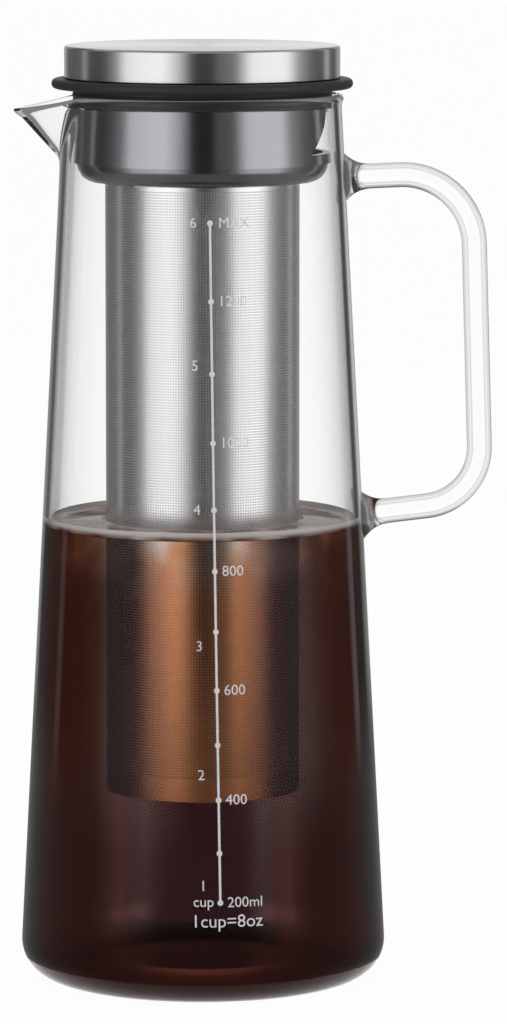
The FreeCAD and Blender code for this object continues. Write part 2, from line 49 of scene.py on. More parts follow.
# %% [markdown]
# ## The camera
# The photograph was taken from far away with a long lens, a little above the lid. A far camera
# keeps the walls of the carafe almost parallel, as they are in the photograph. The camera looks
# along +Y, and the handle stands to the right of it, towards +X.

# %% Place the camera
def new_object(name, data):
    """An object with this data, placed in the scene."""
    thing = bpy.data.objects.new(name, data)
    bpy.context.scene.collection.objects.link(thing)
    return thing


camera_spot = Vector((0.0142, -1.6626, 0.3359))
camera_aim = Vector((0.0142, 0.0, 0.1309))
camera_data = bpy.data.cameras.new("photo_camera")
camera_data.lens = 210.6
camera = new_object("photo_camera", camera_data)
camera.location = camera_spot
camera.rotation_euler = (camera_aim - camera_spot).to_track_quat("-Z", "Y").to_euler()
bpy.context.scene.camera = camera
bpy.context.scene.view_settings.view_transform = "Standard"
drop = camera_spot - camera_aim
print("camera looks down by", round(math.degrees(math.atan2(drop.z, -drop.y)), 2), "degrees")

# %% [markdown]
# ## Small tools
# Colours are picked as sRGB hex values, as a screen shows them, and Blender wants them linear, so
# one function turns one into the other. Every node tree below, for a shader or for geometry, is
# built with one function that adds a node, sets it and links its inputs.

# %% Colour and node tools
def linear(hex_colour):
    """An sRGB hex colour as Blender's linear red, green, blue and alpha."""
    channels = [int(hex_colour[i:i + 2], 16) / 255 for i in (1, 3, 5)]
    return [c / 12.92 if c <= 0.04045 else ((c + 0.055) / 1.055) ** 2.4 for c in channels] + [1.0]


def add(tree, kind, inputs=None, stops=None, **settings):
    """Add a node. An input's value is a number, a colour, another node or a node's output."""
    node = tree.nodes.new(kind)
    for name, value in settings.items():
        setattr(node, name, value)
    for name, value in (inputs or {}).items():
        if isinstance(value, bpy.types.Node):
            tree.links.new(value.outputs[0], node.inputs[name])
        elif isinstance(value, bpy.types.NodeSocket):
            tree.links.new(value, node.inputs[name])
        else:
            node.inputs[name].default_value = value
    if stops:
        band = node.color_ramp.elements
        while len(band) < len(stops):
            band.new(0.5)
        for element, (place, colour) in zip(band, stops):
            element.position = place
            element.color = colour if hasattr(colour, "__len__") else (colour, colour, colour, 1)
    return node


def new_material(name):
    """An empty material, its node tree and its output node."""
    material = bpy.data.materials.new(name)
    material.use_nodes = True
    material.node_tree.nodes.clear()
    return material, material.node_tree, add(material.node_tree, "ShaderNodeOutputMaterial")


def mesh_from(builder, name):
    """A mesh of what a bmesh builder holds."""
    mesh = bpy.data.meshes.new(name)
    builder.to_mesh(mesh)
    builder.free()
    return mesh


print("a mid grey of #808080 is", round(linear("#808080")[0], 3), "in linear light")

# %% [markdown]
# ## The studio floor and the white surround
# The photograph has a pure white ground. The floor is a wide pale disc with real diffuse colour,
# so that it still takes the object's shadow. What the camera sees of it, straight on, in a
# reflection or through glass, is mixed with plain white. The world is white at eye level and
# greyer overhead, like a room whose ceiling is darker than its paper roll.

# %% Make the floor and the world
def seen_directly(tree):
    """1 for a camera, glossy or transmission ray, else 0."""
    rays = add(tree, "ShaderNodeLightPath")
    seen = rays.outputs["Is Camera Ray"]
    for ray in ("Is Glossy Ray", "Is Transmission Ray"):
        seen = add(tree, "ShaderNodeMath", {0: seen, 1: rays.outputs[ray]}, operation="MAXIMUM")
    return seen


# The paper is a plain matt diffuse; the white is light, which no lamp's falloff can grey.
floor_material, tree, output = new_material("white_paper_sweep")
paper = add(tree, "ShaderNodeBsdfDiffuse", {"Color": (0.85, 0.85, 0.85, 1)})
white = add(tree, "ShaderNodeEmission", {"Color": (1, 1, 1, 1), "Strength": 1.0})
share = add(tree, "ShaderNodeMath", {0: seen_directly(tree), 1: 0.97}, operation="MULTIPLY")
mixed = add(tree, "ShaderNodeMixShader", {0: share, 1: paper, 2: white})
tree.links.new(mixed.outputs[0], output.inputs["Surface"])

FLOOR_RADIUS = 8.0
disc = bmesh.new()
bmesh.ops.create_circle(disc, cap_ends=True, segments=96, radius=FLOOR_RADIUS)
bmesh.ops.translate(disc, verts=disc.verts, vec=(0, 0, -0.0002))
floor_mesh = mesh_from(disc, "studio_floor")
floor_mesh.materials.append(floor_material)
floor = new_object("studio_floor", floor_mesh)

world = bpy.data.worlds.new("white_room")
bpy.context.scene.world = world
world.use_nodes = True
tree = world.node_tree
tree.nodes.clear()
ray_direction = add(tree, "ShaderNodeTexCoord")
height = add(tree, "ShaderNodeSeparateXYZ", {0: ray_direction.outputs["Generated"]})
overhead = add(tree, "ShaderNodeMapRange", {"Value": height.outputs["Z"], "From Min": 0.45, "From Max": 0.8,
                                            "To Min": 1.0, "To Max": 0.25})
strength = add(tree, "ShaderNodeMapRange", {"Value": seen_directly(tree), "To Min": 0.5, "To Max": 1.0})
glow = add(tree, "ShaderNodeMath", {0: overhead, 1: strength}, operation="MULTIPLY")
room = add(tree, "ShaderNodeBackground", {"Color": (1, 1, 1, 1), "Strength": glow})
add(tree, "ShaderNodeOutputWorld", {"Surface": room})
print("floor radius", FLOOR_RADIUS, "m")

# %% [markdown]
# ## Three soft lamps
# Soft boxes to the left and right and one overhead light the object evenly. Their strengths are
# set so that a white sheet in the object's place would just render white. They show in no
# reflection, because the next step puts cards in their place that can be shaped.

# %% Hang the lamps
def soft_box(name, azimuth, distance, height, size, watts):
    """An area lamp aimed at the object. Azimuth 0 is in front, 90 on the handle's side."""
    data = bpy.data.lights.new(name, "AREA")
    data.shape = "RECTANGLE"
    data.size, data.size_y = size
    data.energy = watts
    lamp = new_object(name, data)
    turn = math.radians(azimuth)
    lamp.location = (distance * math.sin(turn), -distance * math.cos(turn), height)
    aim = Vector((0, 0, 0.13)) - lamp.location
    lamp.rotation_euler = aim.to_track_quat("-Z", "Y").to_euler()
    lamp.visible_camera = lamp.visible_glossy = lamp.visible_transmission = False


soft_box("left_soft_box", -37, 0.9, 0.35, (0.5, 0.8), 3.2)
soft_box("right_soft_box", 65, 0.9, 0.35, (0.8, 0.9), 3.2)
soft_box("top_soft_box", 180, 0.25, 1.2, (0.8, 0.8), 3.0)
print("three lamps hung")

# %% [markdown]
# ## Light and dark cards round the object
# Metal and glass show nothing but what stands round them, so a product photographer puts white
# and black cards where each reflection looks. Here they are one upright ring that only
# reflections can see. Its brightness follows the direction: the ramp below is a list of cards,
# each with the angle where it begins, counted from the camera's side and positive to the right.
# The cards fade at their foot into a grey card that lies on the table round the carafe, so that
# the dark coffee shows no hard line.

# %% Stand up the cards
# Each stop is an azimuth in degrees, a brightness and the card that begins there.
CARDS = [
    (-180, 0.50, "grey paper behind"), (-151, 0.35, ""),
    (-149, 0.12, "black flag, back left"), (-115, 0.12, ""),
    (-113, 0.45, "narrow strip light on the left"), (-109, 0.45, ""),
    (-107, 0.06, "black flag, left"), (-86, 0.08, ""), (-73, 0.32, "edge of the left soft box"),
    (-64, 1.15, "left soft box"), (-32, 1.38, ""), (-20, 0.85, ""), (-12, 0.30, ""),
    (-8, 0.03, "black card beside the lens"), (9, 0.03, ""), (13, 0.16, "dark grey card"), (28, 0.20, ""),
    (40, 1.25, "right soft box"), (73, 1.32, ""), (84, 0.45, "its edge"), (99, 0.16, ""),
    (119, 0.07, "black flag, right"), (122, 0.60, "strip light, back right"), (127, 0.60, ""),
    (129, 0.10, "black flag, back right"), (144, 0.10, ""), (147, 0.35, "grey paper behind"), (180, 0.50, ""),
]
CARD_DISTANCE, CARD_HEIGHT = 0.45, 0.60   # metres
BACK_HEIGHT, BACK_FROM = 0.28, 168        # the ring is lower behind, from this azimuth on
TABLE_LEVEL, TABLE_START = 0.22, 0.054    # brightness and inner radius of the card on the table

cards_material, tree, output = new_material("light_and_dark_cards")
where = add(tree, "ShaderNodeTexCoord")
turned_round = add(tree, "ShaderNodeMapping", {"Vector": where.outputs["Object"],
                                               "Rotation": (0, 0, math.pi / 2)}, vector_type="POINT")
direction = add(tree, "ShaderNodeTexGradient", {"Vector": turned_round}, gradient_type="RADIAL")
cards_ramp = add(tree, "ShaderNodeValToRGB", {"Fac": direction.outputs["Fac"]},
                 stops=[(azimuth / 360 + 0.5, level) for azimuth, level, label in CARDS])
standing = add(tree, "ShaderNodeSeparateXYZ", {0: where.outputs["Object"]})
rise = add(tree, "ShaderNodeMapRange", {"Value": standing.outputs["Z"], "From Min": 0.0, "From Max": 0.04},
           interpolation_type="SMOOTHSTEP")
table_grey = (TABLE_LEVEL,) * 3 + (1,)
fading = add(tree, "ShaderNodeMix", {"Factor": rise, 6: table_grey, 7: cards_ramp.outputs["Color"]},
             data_type="RGBA")
shine = add(tree, "ShaderNodeEmission", {"Color": fading.outputs[2], "Strength": 1.0})
tree.links.new(shine.outputs[0], output.inputs["Surface"])

ring = bmesh.new()
feet, tops = [], []
for step in range(360):
    azimuth = step - 180
    turn = math.radians(azimuth)
    x, y = CARD_DISTANCE * math.sin(turn), -CARD_DISTANCE * math.cos(turn)
    feet.append(ring.verts.new((x, y, 0)))
    tops.append(ring.verts.new((x, y, BACK_HEIGHT if abs(azimuth) >= BACK_FROM else CARD_HEIGHT)))
inner_edge = [ring.verts.new((v.co * TABLE_START / CARD_DISTANCE)) for v in feet]
for i in range(360):
    j = (i + 1) % 360
    ring.faces.new((feet[i], feet[j], tops[j], tops[i]))
    ring.faces.new((inner_edge[i], inner_edge[j], feet[j], feet[i]))
cards_mesh = mesh_from(ring, "studio_cards")
cards_mesh.materials.append(cards_material)
cards = new_object("studio_cards", cards_mesh)
cards.visible_camera = cards.visible_diffuse = cards.visible_transmission = cards.visible_shadow = False
cards.visible_volume_scatter = False
cards_material.cycles.emission_sampling = floor_material.cycles.emission_sampling = "NONE"
print(len(CARDS), "stops in the ring of cards")

# %% [markdown]
# ## Finishing a piece
# Every piece gets the same last steps: its mesh becomes an object at the origin, it takes its
# material, it rides on the CAD body that it moves with, and the CAD nodes that it replaces are
# hidden. One function does this, and says how large the piece came out.

# %% The finishing function
def finish_piece(name, mesh, material, body, replaces=()):
    """Turn a mesh into a finished piece that rides on a CAD body and hides the CAD nodes it replaces."""
    mesh.name = name
    mesh.materials.clear()
    mesh.materials.append(material)
    piece = new_object(name, mesh)
    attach(piece, body)
    if replaces:
        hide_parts(*replaces)
    corners = [Vector(corner) for corner in piece.bound_box]
    size = [round((max(c[i] for c in corners) - min(c[i] for c in corners)) / MM, 1) for i in range(3)]
    print(f"{name}: {len(mesh.polygons)} faces, {size} mm, rides on {body}")
    return piece


# %% [markdown]
# ## Turned pieces
# The cap, the gasket and the seal are round, and so is the carafe apart from its spout. A lathe
# function turns an outline about the upright axis. Pressed and moulded edges are never sharp, so
# each corner of an outline has its own radius, which becomes an arc. Next to each arc stands a
# close row of points: it holds the flat beside it flat, which a smooth shaded mesh needs.

# %% The lathe
def rounded(corners, steps=7, hold=0.12):
    """An outline of (across, up) points in mm from corners (across, up, radius)."""
    outline = []
    for i, (across, up, radius) in enumerate(corners):
        corner = Vector((across, up))
        if not radius:
            outline.append(corner)
            continue
        back = (Vector(corners[i - 1][:2]) - corner).normalized()
        on = (Vector(corners[(i + 1) % len(corners)][:2]) - corner).normalized()
        half = back.angle(on) / 2
        reach = radius / math.tan(half)
        centre = corner + (back + on).normalized() * radius / math.sin(half)
        start, end = corner + back * reach, corner + on * reach
        sweep = (start - centre).angle(end - centre)
        outline.append(start + back * hold)
        for k in range(steps + 1):
            t = k / steps
            outline.append(centre + ((start - centre) * math.sin((1 - t) * sweep)
                                     + (end - centre) * math.sin(t * sweep)) / math.sin(sweep))
        outline.append(end + on * hold)
    return outline


def lathe(outline, angles, closed=True, shape=None):
    """Turn an outline in mm about Z. Points on the axis close a pole; shape may move each point."""
    turned_mesh = bmesh.new()
    rows = []
    for across, up in outline:
        if across < 1e-6:
            rows.append([turned_mesh.verts.new((0, 0, up * MM))])
            continue
        row = []
        for angle in angles:
            spot = (across * math.cos(angle), across * math.sin(angle), up)
            row.append(turned_mesh.verts.new(Vector(shape(*spot) if shape else spot) * MM))
        rows.append(row)
    pairs = list(zip(rows, rows[1:])) + ([(rows[-1], rows[0])] if closed else [])
    for low, high in pairs:
        for i in range(len(angles)):
            j = (i + 1) % len(angles)
            if len(low) > 1 and len(high) > 1:
                turned_mesh.faces.new((low[i], low[j], high[j], high[i]))
            elif len(low) > 1:
                turned_mesh.faces.new((low[i], low[j], high[0]))
            elif len(high) > 1:
                turned_mesh.faces.new((low[0], high[j], high[i]))
    bmesh.ops.recalc_face_normals(turned_mesh, faces=turned_mesh.faces)
    mesh = mesh_from(turned_mesh, "turned")
    mesh.shade_smooth()
    mesh.set_sharp_from_angle(angle=math.radians(35))
    return mesh


round_about = [2 * math.pi * i / 256 for i in range(256)]
print("a square corner becomes", len(rounded([(0, 0, 0), (10, 0, 2), (10, 10, 0)])), "points")

# %% [markdown]
# ## Borosilicate glass
# The carafe is blown from clear borosilicate, the glass of laboratory ware. Its refraction bends
# what stands behind it, and near the outline of a wall the light runs along the glass, so an
# edge shows a thin grey line with a bright one beside it. These lines are painted shade, a grey
# tint in the glass's colour, and the tint follows the angle of view, as the path through the wall
# does. Light that lights or mirrors the pieces inside passes straight through, which spares the
# render the slow search for paths through curved glass. Specular Tint turns the mirroring down to
# about a quarter, because the dark coffee in the photograph shows hardly any. Real glass mirrors more.

# %% Mix the glass
GLASS_IOR, STRAIGHT_THROUGH = 1.47, 0.97


def glass_material(name, edge_shade_stops):
    """Clear glass. The stops paint shade into its colour, from a square view (0) to a grazing one (1)."""
    material, tree, output = new_material(name)
    angle = add(tree, "ShaderNodeLayerWeight", {"Blend": 0.5})
    # The facing angle picks the painted edge shade from the stops.
    tint = add(tree, "ShaderNodeValToRGB", {"Fac": angle.outputs["Facing"]}, stops=edge_shade_stops)
    glass = add(tree, "ShaderNodeBsdfPrincipled",
                {"Base Color": tint.outputs["Color"], "Roughness": 0.0, "IOR": GLASS_IOR,
                 "Transmission Weight": 1.0, "Specular Tint": (0.28, 0.28, 0.31, 1)})
    clear = add(tree, "ShaderNodeBsdfTransparent", {"Color": (STRAIGHT_THROUGH,) * 3 + (1,)})
    rays = add(tree, "ShaderNodeLightPath")
    for ray in ("Is Reflection Ray", "Is Shadow Ray"):
        glass = add(tree, "ShaderNodeMixShader", {0: rays.outputs[ray], 1: glass, 2: clear})
    tree.links.new(glass.outputs[0], output.inputs["Surface"])
    return material


# Painted shade: the wall darkens just inside its outline; the rod has one thin line there and a dark edge.
blown_glass = glass_material("blown_borosilicate_glass", [
    (0.0, 1.0), (0.45, 0.99), (0.60, 0.92), (0.645, 0.85), (0.68, 0.52), (0.74, 0.52), (0.82, 0.75),
    (0.95, 0.90), (1.0, 0.95)])
rod_glass = glass_material("drawn_borosilicate_rod", [
    (0.0, 1.0), (0.10, 1.0), (0.15, 0.55), (0.21, 0.60), (0.27, 0.95), (0.50, 0.92), (0.62, 0.45),
    (0.78, 0.30), (0.92, 0.5), (1.0, 0.8)])
print("glass refracts by", GLASS_IOR)

# %% [markdown]
# ## The blown carafe
# A carafe like this is blown into a turned mould, then its rim is cut, fire polished to a small
# bead, and one spot is heated again and pulled out to a spout. The mesh is made the same way: a
# lathe turns the wall with its inside, its rounded foot and its bead, and a function then pulls
# the rim outwards towards -X and lets the pouring lip dip. The rings stand closer near the rim,
# and the columns closer at the spout, where the shape changes fastest.

# %% Turn and pull the carafe
FOOT_RADIUS, RIM_RADIUS, RIM_HEIGHT = 51.6, 38.5, 247.8
GLASS_WALL, GLASS_FLOOR, LAST_RING = 2.1, 3.2, 244.8
FOOT_ROUNDING, BEAD_RADIUS = 10.4, 1.35
SPOUT_DROP, SPOUT_SLOPE = 18.0, 1.0
SPOUT_HALF_WIDTH, SPOUT_ROOT, LIP_DIP = 17.0, 2.4, 4.1
SPOUT_THICKENING = 0.87   # the pulled glass gathers at the nose, so its inside is pulled less far


def wall_radius(height):
    """Outer radius of the glass cone at a height, in mm."""
    return FOOT_RADIUS - (FOOT_RADIUS - RIM_RADIUS) * height / RIM_HEIGHT


def ease(value):
    """0 below 0, 1 above 1, and a soft step between."""
    value = min(max(value, 0.0), 1.0)
    return value * value * (3 - 2 * value)


def spout_crest(across):
    """1 on the spout's keel, falling to 0 at its edges, with a round nose and soft flanks."""
    nose, flank = 0.2, 0.12
    ridge = (math.hypot(1, nose) - math.hypot(across, nose)) / (math.hypot(1, nose) - nose)
    return (ridge + math.hypot(ridge, flank)) / (1 + math.hypot(1, flank))


def pulled(x, y, z):
    """The glass point x, y, z in mm after the spout is pulled out."""
    root = RIM_HEIGHT - SPOUT_DROP
    if x > 0 or z < root - 12:
        return x, y, z
    z -= LIP_DIP * spout_crest(y / SPOUT_HALF_WIDTH) ** 0.7 * ease((z - 233) / (RIM_HEIGHT - 233))
    lift = z - root
    width = SPOUT_ROOT + (SPOUT_HALF_WIDTH - SPOUT_ROOT) * min(max(lift / SPOUT_DROP, 0), 1)
    crest = spout_crest(y / width)
    inside = math.hypot(x, y) < wall_radius(min(z, RIM_HEIGHT)) - GLASS_WALL / 2
    run = (lift + math.hypot(lift, 1.0)) / 2 * (SPOUT_THICKENING if inside else 1.0)
    return x - SPOUT_SLOPE * run * crest, y, z


bead_height = RIM_HEIGHT - BEAD_RADIUS
bead_middle = wall_radius(bead_height) - GLASS_WALL / 2 + BEAD_RADIUS / 4
foot = rounded([(0, 0, 0), (FOOT_RADIUS, 0, FOOT_ROUNDING), (wall_radius(60), 60, 0)], steps=14)[1:-1]
inner_foot = rounded([(0, GLASS_FLOOR, 0),
                      (wall_radius(GLASS_FLOOR) - GLASS_WALL, GLASS_FLOOR, FOOT_ROUNDING - GLASS_WALL),
                      (wall_radius(60) - GLASS_WALL, 60, 0)], steps=14)[1:-1]
rows = [20, 35, 50, 70, 90, 110, 130, 150, 170, 190, 205, 213, 218, 221, 223, 225] + \
       [226 + 0.8 * i for i in range(23)]
outline = [(0, 0), (14, 0), (28, 0)] + [tuple(p) for p in foot]
outline += [(wall_radius(z), z) for z in rows] + [(wall_radius(LAST_RING) + 0.03, LAST_RING)]
outline += [(bead_middle + BEAD_RADIUS * math.cos(math.radians(a)),
             bead_height + BEAD_RADIUS * math.sin(math.radians(a))) for a in range(-40, 176, 18)]
outline += [(wall_radius(z) - GLASS_WALL, z) for z in reversed(rows + [LAST_RING])]
outline += [tuple(p) for p in reversed(inner_foot)] + [(28, GLASS_FLOOR), (14, GLASS_FLOOR), (0, GLASS_FLOOR)]
columns = [math.radians(180 + 0.5 * i) for i in range(-64, 64)] + \
          [math.radians(212 + 2 * i) for i in range(148)]
carafe_mesh = lathe(outline, columns, closed=False, shape=pulled)
carafe_mesh.set_sharp_from_angle(angle=math.radians(70))
finish_piece("blown_carafe", carafe_mesh, blown_glass, "carafe", ["glass_carafe"])

# %% [markdown]
# ## Tools for Geometry Nodes
# A rod that follows a path, or thousands of equal marks, are best grown by a node tree: its
# inputs have names and can be changed. One function makes an empty tree with its inputs, and
# another runs a tree on a mesh and keeps the result as a plain mesh, without the modifier.

# %% Geometry Nodes tools
def new_group(name, sockets, result):
    """A Geometry Nodes tree with inputs (label, kind) and one geometry output."""
    tree = bpy.data.node_groups.new(name, "GeometryNodeTree")
    tree.is_modifier = True
    for label, kind in sockets:
        tree.interface.new_socket(label, in_out="INPUT", socket_type="NodeSocket" + kind)
    tree.interface.new_socket(result, in_out="OUTPUT", socket_type="NodeSocketGeometry")
    return tree, add(tree, "NodeGroupInput")


def grown(name, base_mesh, tree, values):
    """Run a Geometry Nodes tree on a mesh and return the result as a plain mesh."""
    seed = new_object(name + "_seed", base_mesh)
    modifier = seed.modifiers.new(name, "NODES")
    modifier.node_group = tree
    for socket in tree.interface.items_tree:
        if socket.name in values:
            modifier[socket.identifier] = values[socket.name]
    ready = seed.evaluated_get(bpy.context.evaluated_depsgraph_get())
    mesh = bpy.data.meshes.new_from_object(ready)
    seed.modifiers.clear()
    bpy.data.objects.remove(seed)
    return mesh


print("two tools for Geometry Nodes")

# %% [markdown]
# ## The rod handle
# The handle is a solid glass rod, bent in a flame and pressed on to the carafe while its ends are
# soft, so that each end spreads like a trumpet's bell. Four points give the corners, Fillet Curve
# bends them, and a round profile is swept along with a size that grows towards both ends.
# Afterwards the ends are pressed against the round wall, which the straight rod can't know of.

# %% Bend the handle
ROD_RADIUS, BELL_RADIUS, BELL_LENGTH, BELL_CURL = 3.5, 7.4, 8.5, 2.6
ARM_TOP, ARM_LOW, SUNK = 224.6, 130.4, 0.7
HANDLE_CORNERS = [  # across, up and bend radius
    (wall_radius(ARM_TOP) - SUNK, ARM_TOP, 0), (wall_radius(ARM_TOP) + 35.3, ARM_TOP + 1.6, 20.0),
    (wall_radius(ARM_LOW) + 33.0, ARM_LOW + 4.1, 16.5), (wall_radius(ARM_LOW) - SUNK, ARM_LOW, 0)]

tree, given = new_group("bent_rod", [
    ("Corners", "Geometry"), ("Rod radius", "Float"), ("Bell radius", "Float"), ("Bell length", "Float"),
    ("Glass", "Material")], "Rod")
path = add(tree, "GeometryNodeMeshToCurve", {"Mesh": given.outputs["Corners"]})
bend = add(tree, "GeometryNodeInputNamedAttribute", {"Name": "bend_radius"}, data_type="FLOAT")
bent = add(tree, "GeometryNodeFilletCurve", {"Curve": path, "Count": 48, "Radius": bend.outputs[0]},
           mode="POLY")
even = add(tree, "GeometryNodeResampleCurve", {"Curve": bent, "Length": 0.5 * MM}, mode="LENGTH")
along = add(tree, "GeometryNodeSplineParameter")
whole = add(tree, "GeometryNodeSplineLength")
from_end = add(tree, "ShaderNodeMath", {0: whole.outputs["Length"], 1: along.outputs["Length"]},
               operation="SUBTRACT")
nearest = add(tree, "ShaderNodeMath", {0: from_end, 1: along.outputs["Length"]}, operation="MINIMUM")
bell = add(tree, "ShaderNodeMapRange", {"Value": nearest, "From Min": 0.0, "To Min": 1.0, "To Max": 0.0,
                                        "From Max": given.outputs["Bell length"]})
curl = add(tree, "ShaderNodeMath", {0: bell, 1: BELL_CURL}, operation="POWER")
size = add(tree, "ShaderNodeMapRange", {"Value": curl, "To Min": given.outputs["Rod radius"],
                                        "To Max": given.outputs["Bell radius"]})
section = add(tree, "GeometryNodeCurvePrimitiveCircle", {"Resolution": 40, "Radius": 1.0}, mode="RADIUS")
swept = add(tree, "GeometryNodeCurveToMesh", {"Curve": even, "Profile Curve": section, "Scale": size,
                                              "Fill Caps": True})
smooth = add(tree, "GeometryNodeSetShadeSmooth", {"Geometry": swept})
real = add(tree, "GeometryNodeRealizeInstances", {"Geometry": smooth})
glazed = add(tree, "GeometryNodeSetMaterial", {"Geometry": real, "Material": given.outputs["Glass"]})
add(tree, "NodeGroupOutput", {0: glazed})

corner_mesh = bpy.data.meshes.new("handle_corners")
corner_mesh.from_pydata([(x * MM, 0, z * MM) for x, z, bend_radius in HANDLE_CORNERS],
                        [(0, 1), (1, 2), (2, 3)], [])
bends = corner_mesh.attributes.new("bend_radius", "FLOAT", "POINT")
bends.data.foreach_set("value", [bend_radius * MM for x, z, bend_radius in HANDLE_CORNERS])
handle_mesh = grown("rod_handle", corner_mesh, tree,
                    {"Rod radius": ROD_RADIUS * MM, "Bell radius": BELL_RADIUS * MM,
                     "Bell length": BELL_LENGTH * MM, "Glass": rod_glass})
for vertex in handle_mesh.vertices:
    surface = wall_radius(vertex.co.z / MM) * MM
    nearness = 1 - min(max((vertex.co.x - surface) / (8 * MM), 0), 1)
    vertex.co.x += (math.sqrt(surface ** 2 - vertex.co.y ** 2) - surface) * nearness
finish_piece("rod_handle", handle_mesh, rod_glass, "carafe", ["glass_handle"])

# %% [markdown]
# ## Steel and silicone
# The cap is stainless steel, pressed and then brushed while it spins, so its scratches run in
# circles and a highlight spreads across them. The filter is etched sheet, which leaves it satin.
# The seal is matt black silicone, with a faint mottle from its mould. The collar is plastic with
# a smoky metallic lacquer.

# %% Mix the metals and the mouldings
def metal_material(name, colour, roughness, anisotropy, streak_scale, streak_depth, bump=0.0):
    """Bare metal. Noise of the distance from the axis and the height makes rings, which vary the
    roughness and carry a fine bump; anisotropy spreads the highlights across them."""
    material, tree, output = new_material(name)
    spot = add(tree, "ShaderNodeTexCoord")
    split = add(tree, "ShaderNodeSeparateXYZ", {0: spot.outputs["Object"]})
    squared = add(tree, "ShaderNodeCombineXYZ", {0: split.outputs["X"], 1: split.outputs["Y"]})
    across = add(tree, "ShaderNodeVectorMath", {0: squared}, operation="LENGTH")
    place = add(tree, "ShaderNodeCombineXYZ", {0: across.outputs["Value"], 1: split.outputs["Z"]})
    streaks = add(tree, "ShaderNodeTexNoise", {"Vector": place, "Scale": streak_scale, "Detail": 3.0,
                                               "Roughness": 0.6})
    rough = add(tree, "ShaderNodeMapRange", {
        "Value": streaks.outputs["Fac"], "From Min": 0.3, "From Max": 0.7,
        "To Min": roughness - streak_depth, "To Max": roughness + streak_depth})
    grain = add(tree, "ShaderNodeBump", {"Height": streaks.outputs["Fac"], "Strength": bump,
                                         "Distance": 0.02 * MM})
    grain_way = add(tree, "ShaderNodeTangent", direction_type="RADIAL", axis="Z")
    steel = add(tree, "ShaderNodeBsdfPrincipled",
                {"Base Color": linear(colour), "Metallic": 1.0, "Roughness": rough, "Anisotropic": anisotropy,
                 "Anisotropic Rotation": 0.25, "Tangent": grain_way, "Normal": grain})
    tree.links.new(steel.outputs[0], output.inputs["Surface"])
    return material


# Brushed in circles: strong anisotropy and fine rings turn each highlight into a fan.
brushed_steel = metal_material("circular_brushed_stainless_steel", "#D9D9D9", 0.27, 0.8, 9000, 0.05, 0.25)
# Etched sheet: pale and evenly satin, with no grain.
etched_steel = metal_material("satin_etched_stainless_sheet", "#F0F0EF", 0.26, 0.0, 1500, 0.0, 0.0)
# Rolled band: a low roughness mirrors the cards sharply.
polished_steel = metal_material("polished_stainless_band", "#D8D8D6", 0.10, 0.3, 3000, 0.02)


def moulded_material(name, colour, roughness, grain_mm, grain_depth, metallic=0.0):
    """A moulded or lacquered skin: a mottle from the mould varies its gloss and its surface."""
    material, tree, output = new_material(name)
    spot = add(tree, "ShaderNodeTexCoord")
    mottle = add(tree, "ShaderNodeTexNoise", {"Vector": spot.outputs["Object"], "Scale": 1 / (grain_mm * MM),
                                              "Detail": 4.0})
    shade = add(tree, "ShaderNodeMapRange", {"Value": mottle.outputs["Fac"], "From Min": 0.3, "From Max": 0.7,
                                             "To Min": roughness * 0.85, "To Max": roughness * 1.15})
    skin = add(tree, "ShaderNodeBump", {"Height": mottle.outputs["Fac"], "Strength": grain_depth,
                                        "Distance": 0.03 * MM})
    body = add(tree, "ShaderNodeBsdfPrincipled",
               {"Base Color": linear(colour), "Roughness": shade, "Metallic": metallic,
                "Normal": skin})
    tree.links.new(body.outputs[0], output.inputs["Surface"])
    return material


# Silicone: dark, rough and mottled, so that light spreads on it softly.
black_silicone = moulded_material("matt_black_silicone", "#242426", 0.55, 0.6, 0.15)
# Lacquer: metallic flakes mirror the cards in grey. The base is a little darker and duller.
smoke_lacquer = moulded_material("smoke_grey_metallic_lacquer", "#A3A3A7", 0.16, 0.5, 0.02, metallic=1.0)
base_lacquer = moulded_material("smoke_grey_lacquer_on_base", "#8E8E92", 0.2, 0.5, 0.02, metallic=1.0)
# Polypropylene: half matt, with a faint grain.
base_plastic = moulded_material("satin_dark_grey_polypropylene", "#48484A", 0.35, 0.5, 0.05)
print("metals and mouldings mixed")

# %% [markdown]
# ## The lid
# The cap is one deep pressing with a tight radius at its edge. Under it lies the silicone flange,
# soft and rounded, and below that the plug whose ribs wipe the neck. All three are turned. The
# collar, with its pour window, and its rounded base keep their CAD shape and get a new finish.

# %% Turn the lid
CAP_RADIUS, CAP_BOTTOM, CAP_TOP, CAP_SHEET, CAP_EDGE = 38.25, 252.4, 261.3, 0.8, 1.0
cap_mesh = lathe(rounded([
    (CAP_RADIUS, CAP_BOTTOM, 0.15), (CAP_RADIUS, CAP_TOP, CAP_EDGE), (0, CAP_TOP, 0),
    (0, CAP_TOP - CAP_SHEET, 0), (CAP_RADIUS - CAP_SHEET, CAP_TOP - CAP_SHEET, 0.3),
    (CAP_RADIUS - CAP_SHEET, CAP_BOTTOM, 0.15)]), round_about, closed=True)
finish_piece("brushed_cap", cap_mesh, brushed_steel, "lid", ["steel_cap"])

FLANGE_RADIUS, FLANGE_BOTTOM, FLANGE_TOP, BORE = 41.8, 249.4, 252.1, 30.3
gasket_mesh = lathe(rounded([
    (BORE, FLANGE_BOTTOM, 0.2), (FLANGE_RADIUS, FLANGE_BOTTOM, 1.2), (FLANGE_RADIUS, FLANGE_TOP, 1.3),
    (BORE, FLANGE_TOP, 0.2)]), round_about)
finish_piece("silicone_gasket", gasket_mesh, black_silicone, "seal", ["rim_gasket"])

